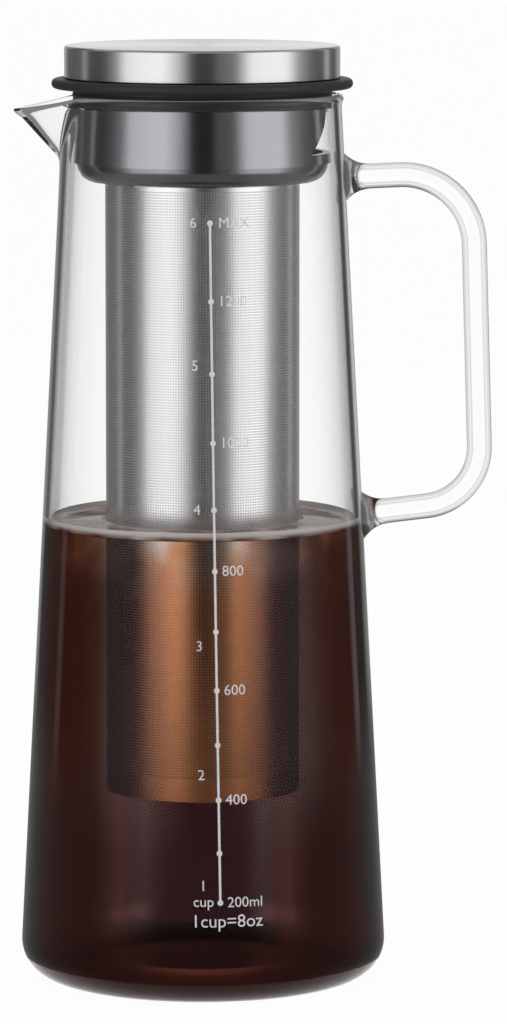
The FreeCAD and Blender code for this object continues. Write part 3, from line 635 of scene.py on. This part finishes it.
PLUG_RADIUS, RIB, PLUG_BOTTOM = 35.8, 0.3, 244.9
plug_step = (FLANGE_BOTTOM - PLUG_BOTTOM) / 5
plug_corners = [(BORE, PLUG_BOTTOM, 0.2), (PLUG_RADIUS, PLUG_BOTTOM, 0.1)]
for step, radius in enumerate((PLUG_RADIUS + RIB, PLUG_RADIUS, PLUG_RADIUS + RIB, PLUG_RADIUS), start=1):
    plug_corners.append((radius, PLUG_BOTTOM + plug_step * step, 0.3))
plug_corners += [(PLUG_RADIUS, FLANGE_BOTTOM, 0), (BORE, FLANGE_BOTTOM, 0)]
seal_mesh = lathe(rounded(plug_corners, steps=4, hold=0.02), round_about)
finish_piece("silicone_neck_seal", seal_mesh, black_silicone, "seal", ["neck_seal"])


def repaint(node, material):
    """Give a CAD node's own object a new finish."""
    for material_slot in nodes[node].material_slots:
        material_slot.material = material
    print(f"{node} keeps its CAD shape, in {material.name}")


repaint("pour_collar", smoke_lacquer)
repaint("collar_base", base_lacquer)
repaint("cap_core", base_plastic)

# %% [markdown]
# ## The filter
# The real filter is a sheet of stainless steel in which some fifty thousand holes were etched,
# rolled to a tube and welded along a plain strip. The tube is turned, and it is whole: each hole
# is a small patch of painted shade, a grey that lies on its outside, and not an opening. A grid of
# points is rolled round it by Geometry Nodes, each point carries one patch, and the points on the
# plain strip are taken out. The patches are 0.75 mm apart and four-sided, because there are so
# many. The unrolled sheet is also their UV map, which suits a baked texture.

# %% Roll the filter sheet
TUBE_RADIUS, TUBE_SHEET, TUBE_BOTTOM, TUBE_TOP = 27.0, 0.4, 53.2, 240.4
tube_mesh = lathe(rounded([
    (TUBE_RADIUS - TUBE_SHEET, TUBE_BOTTOM, 0), (TUBE_RADIUS, TUBE_BOTTOM, 0.15),
    (TUBE_RADIUS, TUBE_TOP, 0.15), (TUBE_RADIUS - TUBE_SHEET, TUBE_TOP, 0)], hold=0.05), round_about)
finish_piece("rolled_filter_sheet", tube_mesh, etched_steel, "filter", ["filter_tube"])

# A hole seen from outside is a dim spot, so its patch is painted shade: a rough, slightly uneven grey that
# hardly shines.
hole_painted_shade, hole_tree, output = new_material("etched_hole_shadow")
spot = add(hole_tree, "ShaderNodeTexCoord")
uneven = add(hole_tree, "ShaderNodeTexNoise", {"Vector": spot.outputs["Object"], "Scale": 1 / (3 * MM)})
depth = add(hole_tree, "ShaderNodeValToRGB", {"Fac": uneven.outputs["Fac"]},
            stops=[(0.35, linear("#74747A")), (0.65, linear("#86868A"))])
inside = add(hole_tree, "ShaderNodeBsdfPrincipled", {"Base Color": depth.outputs["Color"], "Roughness": 0.5,
                                                     "Specular IOR Level": 0.2})
hole_tree.links.new(inside.outputs[0], output.inputs["Surface"])

tree, given = new_group("rolled_perforations", [
    ("Sheet", "Geometry"), ("Tube radius", "Float"), ("Lowest row", "Float"), ("Highest row", "Float"),
    ("Hole width", "Float"), ("Strip angle", "Float"), ("Strip width", "Float"), ("Holes around", "Int"),
    ("Rows", "Int"), ("Finish", "Material")], "Holes")
points = add(tree, "GeometryNodeMeshGrid", {"Size X": 1.0, "Size Y": 1.0,
                                            "Vertices X": given.outputs["Holes around"],
                                            "Vertices Y": given.outputs["Rows"]})
flat = add(tree, "ShaderNodeSeparateXYZ", {0: add(tree, "GeometryNodeInputPosition")})
one_less = add(tree, "ShaderNodeMath", {0: given.outputs["Holes around"], 1: 1.0}, operation="SUBTRACT")
share = add(tree, "ShaderNodeMath", {0: one_less, 1: given.outputs["Holes around"]}, operation="DIVIDE")
round_share = add(tree, "ShaderNodeMath", {0: flat.outputs["X"], 1: share}, operation="MULTIPLY")
angle = add(tree, "ShaderNodeMath", {0: round_share, 1: 2 * math.pi}, operation="MULTIPLY")
level = add(tree, "ShaderNodeMapRange", {"Value": flat.outputs["Y"], "From Min": -0.5, "From Max": 0.5,
                                         "To Min": given.outputs["Lowest row"],
                                         "To Max": given.outputs["Highest row"]})
side, front = [add(tree, "ShaderNodeMath", {0: add(tree, "ShaderNodeMath", {0: angle}, operation=wave),
                                            1: given.outputs["Tube radius"]}, operation="MULTIPLY")
               for wave in ("SINE", "COSINE")]
toward = add(tree, "ShaderNodeMath", {0: front, 1: -1.0}, operation="MULTIPLY")
rolled = add(tree, "ShaderNodeCombineXYZ", {"X": side, "Y": toward, "Z": level})
from_strip = add(tree, "ShaderNodeMath", {0: angle, 1: given.outputs["Strip angle"]}, operation="SUBTRACT")
distance = add(tree, "ShaderNodeMath", {0: from_strip}, operation="ABSOLUTE")
half_strip = add(tree, "ShaderNodeMath", {0: given.outputs["Strip width"], 1: 0.5}, operation="MULTIPLY")
holed = add(tree, "FunctionNodeCompare", {0: distance, 1: half_strip}, data_type="FLOAT",
            operation="GREATER_THAN")
facing = add(tree, "ShaderNodeCombineXYZ", {"X": math.pi / 2, "Z": angle})
sheet_points = add(tree, "GeometryNodeCaptureAttribute")
sheet_points.capture_items.new("BOOLEAN", "holed")
sheet_points.capture_items.new("VECTOR", "facing")
sheet_points.capture_items.new("VECTOR", "rolled")
tree.links.new(points.outputs["Mesh"], sheet_points.inputs[0])
for index, source in enumerate((holed, facing, rolled), start=1):
    tree.links.new(source.outputs[0], sheet_points.inputs[index])
moved = add(tree, "GeometryNodeSetPosition", {"Geometry": sheet_points.outputs[0],
                                              "Position": sheet_points.outputs[3]})
hole_width = given.outputs["Hole width"]
hole = add(tree, "GeometryNodeMeshGrid", {"Size X": hole_width, "Size Y": hole_width,
                                          "Vertices X": 2, "Vertices Y": 2})
turned_hole = add(tree, "FunctionNodeEulerToRotation", {0: sheet_points.outputs[2]})
placed = add(tree, "GeometryNodeInstanceOnPoints", {
    "Points": moved, "Selection": sheet_points.outputs[1], "Instance": hole.outputs["Mesh"],
    "Rotation": turned_hole})
real = add(tree, "GeometryNodeRealizeInstances", {"Geometry": placed})
here = add(tree, "ShaderNodeSeparateXYZ", {0: add(tree, "GeometryNodeInputPosition")})
front_y = add(tree, "ShaderNodeMath", {0: here.outputs["Y"], 1: -1.0}, operation="MULTIPLY")
unrolled = add(tree, "ShaderNodeMath", {0: here.outputs["X"], 1: front_y}, operation="ARCTAN2")
u = add(tree, "ShaderNodeMapRange", {"Value": unrolled, "From Min": -math.pi, "From Max": math.pi,
                                     "To Min": 0.01, "To Max": 0.99})
v = add(tree, "ShaderNodeMapRange", {"Value": here.outputs["Z"], "From Min": 0.05, "From Max": 0.24,
                                     "To Min": 0.01, "To Max": 0.99})
unrolled_spot = add(tree, "ShaderNodeCombineXYZ", {"X": u, "Y": v})
chart = add(tree, "GeometryNodeStoreNamedAttribute", {
    "Geometry": real, "Name": "OFBake", "Value": unrolled_spot}, data_type="FLOAT2", domain="CORNER")
painted = add(tree, "GeometryNodeSetMaterial", {"Geometry": chart, "Material": given.outputs["Finish"]})
add(tree, "NodeGroupOutput", {0: painted})

HOLE_PITCH, HOLE_WIDTH, PLAIN_BOTTOM, PLAIN_TOP = 0.75, 0.34, 60.0, 222.0
STRIP_AZIMUTH, STRIP_WIDTH, LIFT = -57, 3.2, 0.03
holes_around = round(2 * math.pi * TUBE_RADIUS / HOLE_PITCH)
hole_rows = round((PLAIN_TOP - PLAIN_BOTTOM) / HOLE_PITCH) + 1
holes_mesh = grown("etched_holes", bpy.data.meshes.new("blank"), tree, {
    "Tube radius": (TUBE_RADIUS + LIFT) * MM, "Lowest row": PLAIN_BOTTOM * MM, "Highest row": PLAIN_TOP * MM,
    "Hole width": HOLE_WIDTH * MM, "Strip angle": math.radians(STRIP_AZIMUTH),
    "Strip width": STRIP_WIDTH / TUBE_RADIUS, "Holes around": holes_around, "Rows": hole_rows,
    "Finish": hole_painted_shade})
finish_piece("etched_holes", holes_mesh, hole_painted_shade, "filter")
repaint("filter_base", etched_steel)
repaint("filter_rim", polished_steel)
repaint("filter_grip", black_silicone)

# %% [markdown]
# ## The coffee
# Cold brew is a clear liquid, and how dark it looks depends on how much of it the light crosses.
# In front of the filter the layer is thin and shows amber; beside the filter the light crosses
# the whole carafe and little comes through. A render could work this out from a real liquid, but
# here it is painted: each skin is clear and tints the light by the angle of view, with tints
# tuned to the photograph. Glass bends light so much that the coffee seems to reach the outside
# of the wall, so its skin lies inside the glass, near the outer face. It is contents, not a part
# of the object, and it doesn't rise or fall when the filter moves.

# %% Pour the coffee
COFFEE_LEVEL, COFFEE_INSET = 128.4, 0.4
PATCHES_FROM, PATCHES_TO = 108, 127   # pale drifting patches appear below the surface
DEEP_FROM, DEEP_TO = 60, 42           # and near the floor everything is darker

# Amber straight on, near black at the sides; lively is the same skin where a pale patch drifts.
coffee_skin, tree, output = new_material("cold_brew_coffee")
spot = add(tree, "ShaderNodeTexCoord")
height = add(tree, "ShaderNodeSeparateXYZ", {0: spot.outputs["Object"]})
angle = add(tree, "ShaderNodeLayerWeight", {"Blend": 0.5})
layer = add(tree, "ShaderNodeValToRGB", {"Fac": angle.outputs["Facing"]}, stops=[
    (0.0, (0.98, 0.63, 0.42, 1)), (0.026, (0.96, 0.61, 0.41, 1)), (0.045, (0.44, 0.27, 0.21, 1)),
    (0.070, (0.25, 0.16, 0.14, 1)), (0.10, (0.18, 0.10, 0.08, 1)), (0.16, (0.18, 0.08, 0.055, 1)),
    (0.25, (0.20, 0.085, 0.05, 1)), (1.0, (0.12, 0.04, 0.03, 1))])
lively = add(tree, "ShaderNodeValToRGB", {"Fac": angle.outputs["Facing"]}, stops=[
    (0.0, (1.0, 0.97, 0.95, 1)), (0.03, (0.96, 0.90, 0.86, 1)), (0.07, (0.60, 0.50, 0.45, 1)),
    (0.12, (0.38, 0.26, 0.19, 1)), (0.25, (0.34, 0.17, 0.10, 1)), (1.0, (0.2, 0.1, 0.06, 1))])
swirl = add(tree, "ShaderNodeTexNoise", {"Vector": spot.outputs["Object"], "Scale": 1 / (13 * MM),
                                         "Detail": 2.0})
patch = add(tree, "ShaderNodeMapRange", {"Value": swirl.outputs["Fac"], "From Min": 0.38, "From Max": 0.62})
near_top = add(tree, "ShaderNodeMapRange", {"Value": height.outputs["Z"], "From Min": PATCHES_FROM * MM,
                                            "From Max": PATCHES_TO * MM}, interpolation_type="SMOOTHSTEP")
light_patch = add(tree, "ShaderNodeMath", {0: patch, 1: near_top}, operation="MULTIPLY")
top_layer = add(tree, "ShaderNodeMix", {"Factor": light_patch, 6: layer.outputs["Color"],
                                        7: lively.outputs["Color"]}, data_type="RGBA")
deep = add(tree, "ShaderNodeMapRange", {"Value": height.outputs["Z"], "From Min": DEEP_FROM * MM,
                                        "From Max": DEEP_TO * MM})
deeper = add(tree, "ShaderNodeMix", {"Factor": deep, 6: top_layer.outputs[2], 7: (0.80, 0.76, 0.84, 1)},
             data_type="RGBA", blend_type="MULTIPLY")
tinted = add(tree, "ShaderNodeBsdfTransparent", {"Color": deeper.outputs[2]})
tree.links.new(tinted.outputs[0], output.inputs["Surface"])

coffee_outline = [(0, GLASS_FLOOR - 1.2), (20, GLASS_FLOOR - 1.2)]
coffee_outline += [(p[0] - COFFEE_INSET * (1 - p[1] / 200), p[1] + COFFEE_INSET * 1.4)
                   for p in map(tuple, foot) if p[1] > 0.35]
coffee_outline += [(wall_radius(z) - COFFEE_INSET, z) for z in (20, 35, 50, 70, 90, 110, COFFEE_LEVEL - 0.3)]
coffee_outline += [(20, COFFEE_LEVEL - 0.3), (0, COFFEE_LEVEL - 0.3)]
coffee_mesh = lathe(coffee_outline, round_about, closed=False)
finish_piece("cold_brew_coffee", coffee_mesh, coffee_skin, "carafe")

# %% [markdown]
# ## The coffee inside the filter
# The skin is palest in the middle, where the filter stands behind it. When the filter is lifted
# out, or below its end, that would show a bright stripe. A column of coffee as wide as the inside
# of the filter makes up for it: it is darkest in the middle and clear at its sides. At rest the
# steel hides its upper part.

# %% Fill the middle
COLUMN_RADIUS = 26.3
# A clear skin again, whose tint is the reverse of the outer one.
column_skin, tree, output = new_material("cold_brew_column")
angle = add(tree, "ShaderNodeLayerWeight", {"Blend": 0.5})
depth = add(tree, "ShaderNodeValToRGB", {"Fac": angle.outputs["Facing"]}, stops=[
    (0.0, (0.19, 0.17, 0.25, 1)), (0.08, (0.20, 0.175, 0.255, 1)), (0.143, (0.23, 0.23, 0.32, 1)),
    (0.227, (0.33, 0.40, 0.54, 1)), (0.343, (0.54, 0.61, 0.75, 1)), (0.5, (0.84, 0.86, 0.90, 1)),
    (0.65, (1, 1, 1, 1))])
tinted = add(tree, "ShaderNodeBsdfTransparent", {"Color": depth.outputs["Color"]})
tree.links.new(tinted.outputs[0], output.inputs["Surface"])
column_outline = rounded([(0, GLASS_FLOOR + 1, 0), (COLUMN_RADIUS, GLASS_FLOOR + 1, 1.0),
                          (COLUMN_RADIUS, COFFEE_LEVEL - 0.6, 0.2), (0, COFFEE_LEVEL - 0.6, 0)])
finish_piece("coffee_column", lathe(column_outline, round_about, closed=False), column_skin, "carafe")

# %% [markdown]
# ## The coffee's surface
# The surface is a thin disc that climbs a little where it meets the filter and the glass. It
# hides what lies below it, as the photograph's low angle does.

# %% Lay the surface
FILTER_CLIMB, WALL_CLIMB, FILM = 0.7, 2.0, 0.25
# Drifting foam: noise mixes dark coffee with pale browns, a low roughness makes it wet, and the
# climbing rim is painted lighter, a painted highlight where it catches the light.
film, tree, output = new_material("coffee_surface_film")
spot = add(tree, "ShaderNodeTexCoord")
cloud = add(tree, "ShaderNodeTexNoise", {"Vector": spot.outputs["Object"], "Scale": 1 / (14 * MM),
                                         "Detail": 2.0})
brown = add(tree, "ShaderNodeValToRGB", {"Fac": cloud.outputs["Fac"]},
            stops=[(0.38, linear("#4A2A20")), (0.52, linear("#8A6A5A")), (0.64, linear("#B3A69E"))])
rise = add(tree, "ShaderNodeSeparateXYZ", {0: spot.outputs["Object"]})
# Painted highlight: above the level, the climbing rim's colour mixes towards a pale grey.
edge = add(tree, "ShaderNodeMapRange", {"Value": rise.outputs["Z"], "From Min": (COFFEE_LEVEL + 0.15) * MM,
                                        "From Max": (COFFEE_LEVEL + 1.2) * MM})
painted_rim_highlight = add(tree, "ShaderNodeMix", {"Factor": edge, 6: brown.outputs["Color"], 7: linear("#B9B4B0")},
            data_type="RGBA")
liquid = add(tree, "ShaderNodeBsdfPrincipled", {"Base Color": painted_rim_highlight.outputs[2], "Roughness": 0.03,
                                                "IOR": 1.33})
tree.links.new(liquid.outputs[0], output.inputs["Surface"])
inner = wall_radius(COFFEE_LEVEL) - GLASS_WALL
steps_out = (0, 0.3, 0.7, 1.2, 2, 3.5, 6)
film_outline = [(0, COFFEE_LEVEL), (TUBE_RADIUS - 1, COFFEE_LEVEL)]
film_outline += [(TUBE_RADIUS + 0.05 + t, COFFEE_LEVEL + FILTER_CLIMB * math.exp(-t / 0.9))
                 for t in steps_out]
film_outline += [(inner + 0.2 - t, COFFEE_LEVEL + WALL_CLIMB * math.exp(-t / 1.1))
                 for t in reversed(steps_out)]
film_outline += [(inner + 0.2, COFFEE_LEVEL - FILM), (0, COFFEE_LEVEL - FILM)]
finish_piece("coffee_surface", lathe(film_outline, round_about, closed=False), film, "carafe")

# %% [markdown]
# ## The printed scale
# The scale is screen printed on the outside of the glass in white ceramic ink and fired on. A
# line climbs the wall with a dot at each hundred millilitres, with millilitres on its right and
# cups on its left. The words are text objects turned to flat meshes, whose points are then laid
# round the cone; the dots are one small disc set on each mark by Geometry Nodes. The cup numbers
# 4 and 5 can't be read in the photograph, and fill the gap in the row.

# %% Print the scale
INK_LIFT, DOT_RADIUS = 0.04, 0.8
LEAN_FOOT, LEAN_HEAD = (29.3, 5.9), (214.7, 3.4)   # height in mm, degrees off the front
MARKS = [(200, 29.3), (300, 42.9), (400, 57.5), (500, 72.6), (600, 87.55), (700, 103.6), (800, 120.1),
         (900, 136.8), (1000, 155.0), (1100, 173.8), (1200, 193.5), (1300, 214.75)]


def scale_azimuth(height):
    """The printed line leans a little: it stands further off the front at its foot."""
    share = (height - LEAN_FOOT[0]) / (LEAN_HEAD[0] - LEAN_FOOT[0])
    return math.radians(LEAN_FOOT[1] + (LEAN_HEAD[1] - LEAN_FOOT[1]) * share)


def on_glass(across, height, lift=INK_LIFT):
    """A point of the flat print, across from the scale line and at a height in mm, on the wall."""
    radius = wall_radius(height) + lift
    angle = scale_azimuth(height) + across / radius
    return Vector((radius * math.sin(angle), -radius * math.cos(angle), height)) * MM


# Fired enamel: a matt, faintly speckled off-white.
ink, tree, output = new_material("fired_white_ceramic_ink")
spot = add(tree, "ShaderNodeTexCoord")
speck = add(tree, "ShaderNodeTexNoise", {"Vector": spot.outputs["Object"], "Scale": 1 / (0.4 * MM)})
tone = add(tree, "ShaderNodeValToRGB", {"Fac": speck.outputs["Fac"]},
           stops=[(0.35, linear("#CDCBCF")), (0.65, linear("#E2E0E4"))])
enamel = add(tree, "ShaderNodeBsdfPrincipled", {"Base Color": tone.outputs["Color"], "Roughness": 0.45})
tree.links.new(enamel.outputs[0], output.inputs["Surface"])

LINE_WIDTH = 0.65
line = bmesh.new()
heights = [MARKS[0][1] + (MARKS[-1][1] - MARKS[0][1]) * i / 120 for i in range(121)]
edges = [[line.verts.new(on_glass(side * LINE_WIDTH / 2, z)) for side in (-1, 1)] for z in heights]
for low, high in zip(edges, edges[1:]):
    line.faces.new((low[0], low[1], high[1], high[0]))
finish_piece("scale_line", mesh_from(line, "scale_line"), ink, "carafe")

tree, given = new_group("scale_dots", [
    ("Marks", "Geometry"), ("Dot radius", "Float"), ("Ink", "Material")], "Dots")
dot = add(tree, "GeometryNodeMeshCircle", {"Vertices": 24, "Radius": given.outputs["Dot radius"]},
          fill_type="NGON")
place = add(tree, "ShaderNodeSeparateXYZ", {0: add(tree, "GeometryNodeInputPosition")})
back = add(tree, "ShaderNodeMath", {0: place.outputs["Y"], 1: -1.0}, operation="MULTIPLY")
turn = add(tree, "ShaderNodeMath", {0: place.outputs["X"], 1: back}, operation="ARCTAN2")
upright = add(tree, "ShaderNodeCombineXYZ", {"X": math.radians(87), "Z": turn})
spin = add(tree, "FunctionNodeEulerToRotation", {0: upright})
placed = add(tree, "GeometryNodeInstanceOnPoints", {
    "Points": given.outputs["Marks"], "Instance": dot, "Rotation": spin})
real = add(tree, "GeometryNodeRealizeInstances", {"Geometry": placed})
inked = add(tree, "GeometryNodeSetMaterial", {"Geometry": real, "Material": given.outputs["Ink"]})
add(tree, "NodeGroupOutput", {0: inked})
mark_mesh = bpy.data.meshes.new("marks")
mark_mesh.from_pydata([on_glass(0, z, INK_LIFT + 0.02) for amount, z in MARKS], [], [])
dots_mesh = grown("scale_dots", mark_mesh, tree, {"Dot radius": DOT_RADIUS * MM, "Ink": ink})
finish_piece("scale_dots", dots_mesh, ink, "carafe")


def lettering(text, size, across, height, align):
    """Flat letters as a list of vertices and faces, laid on the glass. Sizes in mm."""
    letters = bpy.data.curves.new("letters", "FONT")
    letters.body, letters.size, letters.align_x, letters.align_y = text, size * MM, align, "CENTER"
    letters.resolution_u = 3
    seed = new_object("letters", letters)
    flat = bpy.data.meshes.new_from_object(seed.evaluated_get(bpy.context.evaluated_depsgraph_get()))
    bpy.data.objects.remove(seed)
    for vertex in flat.vertices:
        vertex.co = on_glass(across + vertex.co.x / MM, height + vertex.co.y / MM)
    return flat


LETTER_SIZE = 4.05
FOOT_MARK, HEAD_MARK = MARKS[0][1], MARKS[-1][1]
words = [(f"{amount}", LETTER_SIZE, 1.9, z, "LEFT") for amount, z in MARKS
         if amount in (400, 600, 800, 1000, 1200)]
words += [("200ml", LETTER_SIZE, 1.9, FOOT_MARK, "LEFT"), ("MAX", LETTER_SIZE, 2.2, HEAD_MARK, "LEFT"),
          ("cup", LETTER_SIZE, -1.7, FOOT_MARK + 0.2, "RIGHT"),
          ("1cup=8oz", 5.0, 1.9, FOOT_MARK - 5.2, "CENTER")]
words += [(f"{cups}", LETTER_SIZE, -3.6, z, "RIGHT") for cups, z in
          ((1, 33.9), (2, 64.3), (3, 99.6), (4, 136.8), (5, 176.0), (6, 214.75))]
print_mesh = bmesh.new()
for text, size, across, height, align in words:
    letters = lettering(text, size, across, height, align)
    print_mesh.from_mesh(letters)
    bpy.data.meshes.remove(letters)
finish_piece("scale_words", mesh_from(print_mesh, "scale_words"), ink, "carafe")
